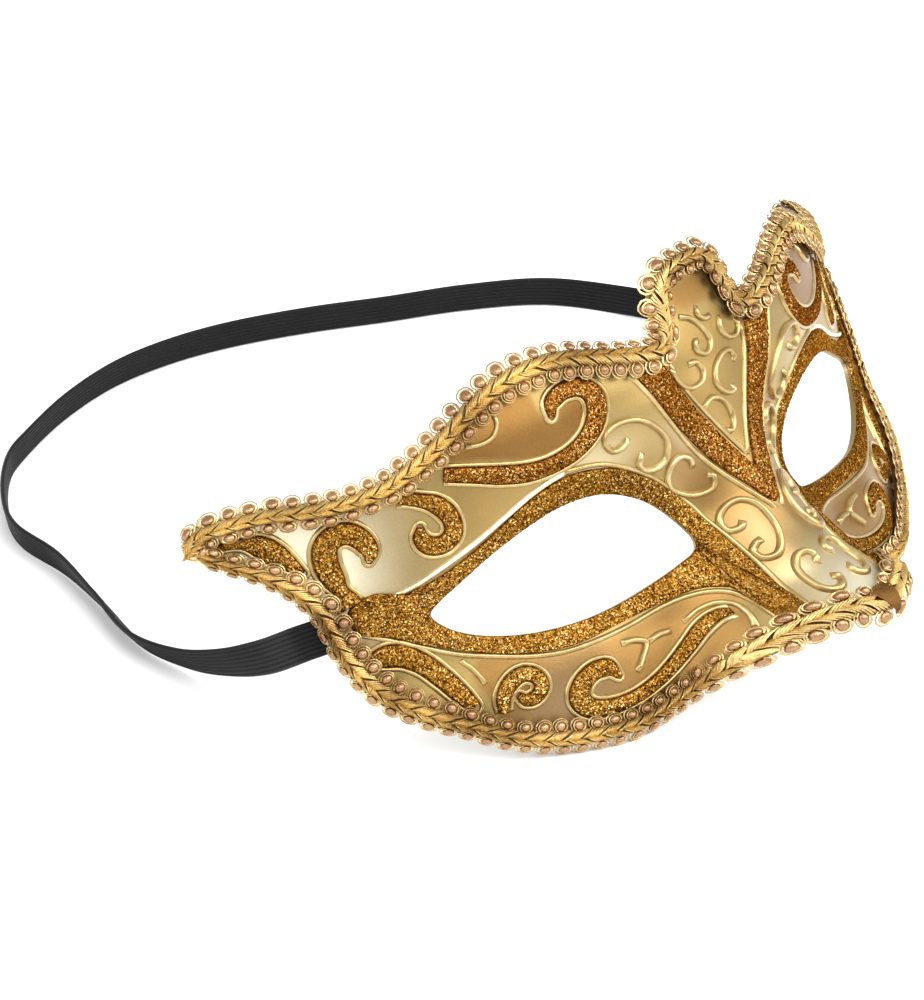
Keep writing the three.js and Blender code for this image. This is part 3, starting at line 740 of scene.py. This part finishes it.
def ridge(b, line, side, half, height, look=0):
    """Raised bead along a dense line: a rounded section whose feet flow into the ground."""
    line = np.asarray(line, float)
    k = np.linspace(-1, 1, 9)
    shape = (1 - k**2) ** 0.75
    s = np.arange(len(line))
    ends = np.minimum(1, np.minimum(s, s[::-1]) / 4.0 + 0.25)[:, None]
    n = sideways(line)
    p = line[:, None, :2] + n[:, None] * (k * half)[None, :, None]
    top = skin(side * p[..., 0], p[..., 1], height * shape * ends - 0.02)
    low = skin(side * p[:, [-1, 0], 0], p[:, [-1, 0], 1], -0.35)
    b.grids(np.concatenate([top, low], 1), look=look, closed_cols=True, caps=True, flip=side > 0)


def around(rows, gap):
    """Line that runs up one side of a curl, round its tip and back down the other side."""
    line = curve(rows, step=0.45)
    n = sideways(line)
    reach = line[:, 2:3] + gap
    left, right = line[:, :2] + n * reach, line[:, :2] - n * reach
    start = math.atan2(n[-1, 1], n[-1, 0])
    t = np.linspace(0, math.pi, 9)[1:-1, None]
    cap = line[-1, :2] + reach[-1] * np.hstack([np.cos(start + t), np.sin(start + t)])
    path = np.concatenate([left, cap, right[::-1]])
    return curve(path[::2], step=0.4)


OUTLINES = [
    [(40, 17.6), (37.7, 17.5), (32.6, 16.3), (27.6, 13.7), (22.5, 10.2), (18.1, 6.2), (14.8, 1.9), (12.7, -2.7),
     (11.2, -7.2), (9.8, -13.6), (9.4, -23.4)],
    [(85.4, 3.9), (81.2, 1.3), (76, -2.3), (70.1, -6.2), (64, -9.1), (57.7, -11.7), (51.5, -13.4), (44.3, -14.1),
     (36.6, -14.4), (28.5, -14.1), (22.8, -14.3), (18.6, -15.1), (15.8, -16.5), (14.1, -19), (13.5, -23)],
    [(21.6, 29.5), (19.1, 25.1), (16.5, 19.9), (13.2, 14.2), (10.3, 9.4), (7.4, 4.8), (4.7, 0.5), (2.7, -2.8),
     (0.9, -5.9)],
    [(11.1, 28.2), (10.6, 24.9), (8.3, 20), (5.6, 15.2), (2.8, 10.3), (0.9, 6.8), (0, 5.2)],
    [(56.5, 29.4), (53.5, 28.8), (51, 29.3), (49.5, 31), (49.4, 33.4)],
    [(70.1, -7.4), (68.5, -9.9), (67.3, -13.2)],
    [(25.7, -18.4), (22, -17.3), (18.5, -17.4), (16.2, -18.9), (15.9, -21.1), (16.6, -23.4)],
    [(97.3, 24.7), (96.1, 25), (94.8, 23.5), (93.8, 21.5)],
]
LASH_LINE = [  # whitish outline over the eye, in cream_paint
    (77, 8.2), (72.1, 8.9), (66, 10.3), (59.8, 12), (53.7, 14.2), (47.7, 16.3), (42.7, 17.4), (40, 17.6),
]
SCROLLS = [
    [(25.5, 18.7), (27.2, 17.6), (29.5, 17.7), (30.7, 19.4), (29.9, 21.5), (26.9, 22.2), (22.8, 21.2), (18.8, 17.9),
     (16.8, 14.2), (17.6, 11.4), (20.1, 10.5), (22.7, 11.2), (23.9, 13), (22.9, 14.7)],
    [(11.9, 7.3), (12.1, 9.1), (13.9, 10.4), (16.1, 9.9), (17.5, 7.8), (17.1, 5.3), (14.9, 3.3), (12, 2.1),
     (9.4, 2.5), (8.7, 4.4), (9.8, 5.1)],
    [(7.8, -5.3), (8.7, -6.3), (10.6, -6.1), (11, -4), (9.3, -2), (6.6, -1.5), (4.2, -3.3), (3.4, -6.1),
     (3.6, -9.1), (4.9, -11.6), (6.8, -13.1), (8.8, -12.7), (9.3, -11.1), (8.1, -9.9), (7, -9.6)],
    [(2.6, -17.2), (1.6, -15.8), (2.4, -14.6), (4.3, -14.6), (5.8, -16.2), (6.2, -18.8), (5.7, -21.1), (4.2, -22.1),
     (2.4, -21.7), (1.8, -20.6), (2.8, -19.9)],
    [(40, -16.7), (36.9, -17.3), (34.8, -18.7), (36.5, -20.7), (38.8, -22.9)],
    [(34.2, -18.8), (31.3, -18.5), (28.6, -18.9)],
]
# between the arms of the V, round the face from its middle line
PANEL_SCROLLS = [
    [(-4.5, 34.8), (-1.8, 33.4), (0.3, 30.9), (1.2, 28.3), (0.2, 26.6), (-1.3, 26.2), (-3.2, 27.5), (-3, 29.1),
     (-1.8, 29)],
    [(-11.3, 27), (-10.8, 24.5), (-9.2, 22.3), (-6.8, 21.5), (-4.2, 22.2), (-3.5, 23.9), (-4.6, 25.7), (-6.5, 25.8)],
    [(5.6, 22.1), (6.2, 23.1), (5.4, 24.5), (2.5, 24.4), (-0.2, 22.7), (-1.1, 20), (0.4, 17.8), (2.9, 17.3),
     (3.2, 18.4)],
    [(-6.2, 16.4), (-5.8, 17.4), (-3.6, 18.1), (-1.1, 16.8), (0.2, 14.4), (0, 12.1), (-1.3, 10.7), (-2.6, 11.1)],
    [(6.1, 31.3), (5.1, 29.2), (6.3, 27), (8.8, 26.4), (10.2, 27.5), (10.6, 29.2)],
    [(1, 35.1), (0.4, 33.6), (1.7, 32.3), (3.8, 32.1)],
]


def raised_lines(name, side):
    """Every raised outline and scroll of one half."""
    b = Build()
    for rows in OUTLINES:
        ridge(b, curve(rows, step=0.45), side, 0.55, 0.55)
    for key, rows in CURLS.items():
        rows = RUN_ON.get(key, []) + rows
        ridge(b, around(rows, 0.45), side, 0.5, 0.5)
    ridge(b, curve(LASH_LINE, step=0.45), side, 0.6, 0.6, look=1)
    for rows in SCROLLS:
        ridge(b, curve(rows, step=0.3), side, 0.72, 0.95)
    if side > 0:
        for rows in PANEL_SCROLLS:
            ridge(b, curve(rows, step=0.3), side, 0.66, 0.85)
    return b.piece(name, [outline_paint, cream_paint], sharp=80)


def strand(path, radius, sides):
    """Round section carried along a short path, in the braid's own x along, y across, z up."""
    path = np.array(path, float)
    d = np.gradient(path, axis=0)
    d /= np.linalg.norm(d, axis=1, keepdims=True)
    right = np.cross(d, [0, 0, 1])
    right /= np.linalg.norm(right, axis=1, keepdims=True) + 1e-9
    up = np.cross(right, d)
    t = np.linspace(0, 2 * math.pi, sides, endpoint=False)[:, None]
    return path[:, None] + radius * (right[:, None] * np.cos(t) + up[:, None] * np.sin(t))


def gimp(name, rows, side, tucked=(), tucked_look=CORE):
    """Gimp braid along the rows (a, z, half width right of travel, half width left of it): at every
    pitch a double thread loop round a glassy bead of film on each side, and a leaf of fine threads
    swept in to the middle, over a ground ribbon in dark core_shade, painted shade under and between
    the loops. tucked are the threads of its gathered ends."""
    line = curve(rows, step=0.3)
    n = sideways(line)
    s = np.concatenate([[0], np.cumsum(np.linalg.norm(np.diff(line[:, :2], axis=0), axis=1))])

    def lay(p):
        """Places points (x along, y across, z up) of the straight braid on the face."""
        x = np.clip(p[..., 0], 0, s[-1])
        over = p[..., 0] - x
        c = np.stack([np.interp(x, s, line[:, i]) for i in (0, 1)], -1)
        m = np.stack([np.interp(x, s, n[:, i]) for i in (0, 1)], -1)
        m /= np.linalg.norm(m, axis=-1, keepdims=True)
        ahead = np.stack([-m[..., 1], m[..., 0]], -1)
        reach = np.where(p[..., 1] > 0, np.interp(x, s, line[:, 2]), np.interp(x, s, line[:, 3]))
        q = c + m * (p[..., 1] * reach / LOOP_REACH)[..., None] + ahead * over[..., None]
        return skin(side * q[..., 0], q[..., 1], p[..., 2])

    b = Build()
    k = np.linspace(-1, 1, 9)
    # the ground ribbon takes core_shade: dark painted shade under and between the loops
    ground = np.stack(np.broadcast_arrays(s[:, None], 1.7 * k, BRAID_LIFT + 0.55 * (1 - k**4)), -1)
    low = np.stack(np.broadcast_arrays(s[:, None], np.array([1.7, -1.7]), np.array([0.3, 0.3])), -1)
    b.grids(lay(np.concatenate([ground, low], 1)), look=SHADE, closed_cols=True, caps=True, flip=side > 0)
    count = max(1, round(s[-1] / PITCH))
    pitch = s[-1] / count
    t = np.radians(np.linspace(-148, 148, 11))
    ring = lambda wide, tall, up: np.stack([wide * np.sin(t), 2.72 + tall * np.cos(t), up + 0 * t], -1)
    outer = strand(ring(1.55, 1.4, 1.6), 0.15, 4)
    second = strand(ring(1.2, 1.08, 2.2), 0.12, 4)
    leaves = []
    for j in range(5):
        x0, x1 = -2.6 + 0.72 * j, 1.1 + 0.5 * j
        leaves.append(strand(curve([
            (x0, 1.75, 1.4), (0.65 * x0 + 0.35 * x1, 1.25, 2.15 + 0.04 * j),
            (0.3 * x0 + 0.7 * x1, 0.55, 2.45 + 0.05 * j), (x1, -0.1, 2.1),
        ], count=6), 0.2, 4))
    a = np.linspace(0, 2 * math.pi, 10)
    dip = np.radians(np.array([1, 28, 55, 82, 115]))[:, None]
    bead = np.stack([
        1.08 * np.sin(dip) * np.cos(a), 2.75 + 1.0 * np.sin(dip) * np.sin(a), 1.7 + 1.0 * np.cos(dip) + 0 * a,
    ], -1)
    at = pitch * (np.arange(count) + 0.5)
    for way, shift in ((1, 0.0), (-1, pitch / 4)):
        jitter = rng.normal(0, 0.09, (count, 1, 1, 3)) * [1, 0.6, 0.6]
        for template, look, closed in [
            (outer, LOOPS, True), (second, LOOPS, True), (bead, BEADS, False), *((leaf, CORE, True) for leaf in leaves)
        ]:
            p = template[None] * [1, way, 1] + jitter
            p[..., 0] += (at + shift)[:, None, None]
            p[..., 2] -= 0.65 * np.maximum(0, p[..., 1] - 1.3)
            b.grids(lay(p), look=look, closed_cols=closed, caps=closed, flip=(side * way) < 0)
    for path in tucked:
        thread = strand(curve(path, count=9), 0.18, 5)
        b.grids(skin(*np.moveaxis(thread, -1, 0)), look=tucked_look, caps=True, closed_cols=True)
    return b.piece(name, [core_thread, loop_thread, film_bead, core_shade], sharp=70)


PITCH = 3.5  # from loop to loop
LOOP_REACH = 4.1  # from the middle of the braid to the top of a loop, before it is fitted
# half width of the upper and lower braid, outwards and inwards, by distance round the face
TOP_REACH = knots((0, 3.0), (4, 3.2), (6.5, 4.6), (8.5, 4.8), (10.5, 3.6), (14, 3), (28, 2.9), (36, 3.4), (45, 4),
                  (55, 3.9), (65, 3.6), (75, 3.3), (105, 3.2))
TOP_INWARD = knots((0, 3.4), (8.5, 2.7), (12, 3.5), (19, 4.2), (36, 4.2), (50, 3.9), (65, 3.3), (100, 3.1))
LOW_REACH = knots((0, 4.2), (5, 3.4), (9, 2.9), (45, 3), (60, 2.7), (70, 2.4), (86, 2.4), (90, 2.1), (104, 2.2))
LOW_INWARD = knots((0, 3), (30, 3.1), (50, 3.4), (57, 4), (66, 3.3), (78, 3.8), (90, 4.2), (97, 3.2), (104, 2.6))


def reached(rows, outward, inward):
    return [(a, z, float(outward(a)), float(inward(a))) for a, z in rows]


TOP_HALF = reached([(107, 28.9), (104.4, 30.9)] + [(a, z) for a, z, _ in UPPER_EDGE], TOP_REACH, TOP_INWARD)
TOP_BRAID = TOP_HALF + [(-a, z, i, o) for a, z, i, o in TOP_HALF[-2::-1]]
LOW_BRAID = reached([(0.1, -27.3), (2.5, -27.1)] + [(a, z) for a, z, _ in LOWER_EDGE[1:]] + [(105, 26.6)],
                    LOW_REACH, LOW_INWARD)


WING_FOLD = [
    [(side * a, z, lift) for a, z, lift in (
        (104.2, 26.4 + 0.85 * i, 1.9), (107.2, 27.3 + 0.6 * i, 2.3), (108.5, 28 + 0.4 * i, 0.9),
        (108.2, 28.2 + 0.35 * i, -1), (106.6, 28 + 0.35 * i, -2.1))]
    for side in (-1, 1) for i in range(6)
]
NOSE_PLEAT = [
    [(-2.4 + 0.6 * i, -25.2, 1.9), (-1.6 + 0.4 * i, -27.4, 2.7), (-0.6 + 0.15 * i, -29.4, 2.3), (0, -30, 1.2)]
    for i in range(9)
]


def place(piece, body, *nodes, slot=None):
    """The piece moves with a body and stands for its nodes."""
    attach(piece, body)
    if nodes:
        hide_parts(*nodes)
    return piece


place(mask_moulding(), "mask", "mask_shell", slot="gold_shell")
place(forehead_vee(), "mask", "forehead_v_glitter", slot="glitter_glue")
place(gimp("braid_top_threads", TOP_BRAID, 1, WING_FOLD), "mask", "braid_top", slot="metallic_braid")
for word, side in (("left", -1), ("right", 1)):
    place(eye_rim(f"eye_rim_{word}", side), "mask", f"eye_rim_glitter_{word}", slot="glitter_glue")
    for key, rows in CURLS.items():
        rows = RUN_ON.get(key, []) + rows
        place(glitter_curl(f"{key}_{word}", rows, side), "mask", f"{key}_{word}", slot="glitter_glue")
    place(raised_lines(f"raised_lines_{word}", side), "mask", slot="gold_shell")
    pleat = NOSE_PLEAT if side > 0 else ()
    low_braid = gimp(f"braid_bottom_{word}_threads", LOW_BRAID, side, pleat, SHADE)
    place(low_braid, "mask", f"braid_bottom_{word}", slot="metallic_braid")
    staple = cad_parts[f"staple_{word}"]
    for holder in staple.material_slots:
        holder.material = wire_steel

# ---------------------------------------------------------------- floor and light
floor_build = Build()
span = np.linspace(-4, 4, 9)
floor_build.grids(np.stack(np.meshgrid(span, span, indexing="ij") + [np.zeros((9, 9))], -1), flip=True)
floor_paint, tree, shader, spot = finish("floor_paper", Roughness=0.9, Specular_IOR_Level=0.1)
clouds = wire(tree, "ShaderNodeTexNoise", Vector=spot, Scale=3.0).outputs[0]
white = ramp(tree, clouds, (0.3, (0.97, 0.97, 0.97)), (0.7, (0.98, 0.98, 0.98)))
tree.links.new(white, shader.inputs["Base Color"])
floor = floor_build.piece("floor", [floor_paint])


def softbox(name, azimuth, elevation, distance, size, power):
    """Square soft light aimed at the mask from a direction."""
    light = bpy.data.lights.new(name, "AREA")
    light.size = size
    light.energy = power
    lamp = bpy.data.objects.new(name, light)
    bpy.context.collection.objects.link(lamp)
    aim(lamp, azimuth, elevation, distance, (0, 0.02, 0.03))


softbox("key_light", 20, 55, 1.1, 0.9, 12)
softbox("fill_light", 100, 35, 1.3, 0.7, 6)
softbox("nose_light", -35, 30, 1.2, 0.6, 7)
world = bpy.data.worlds.new("studio")
world.use_nodes = True
world.node_tree.nodes["Background"].inputs[0].default_value = (1, 1, 1, 1)
world.node_tree.nodes["Background"].inputs[1].default_value = 0.86
bpy.context.scene.world = world
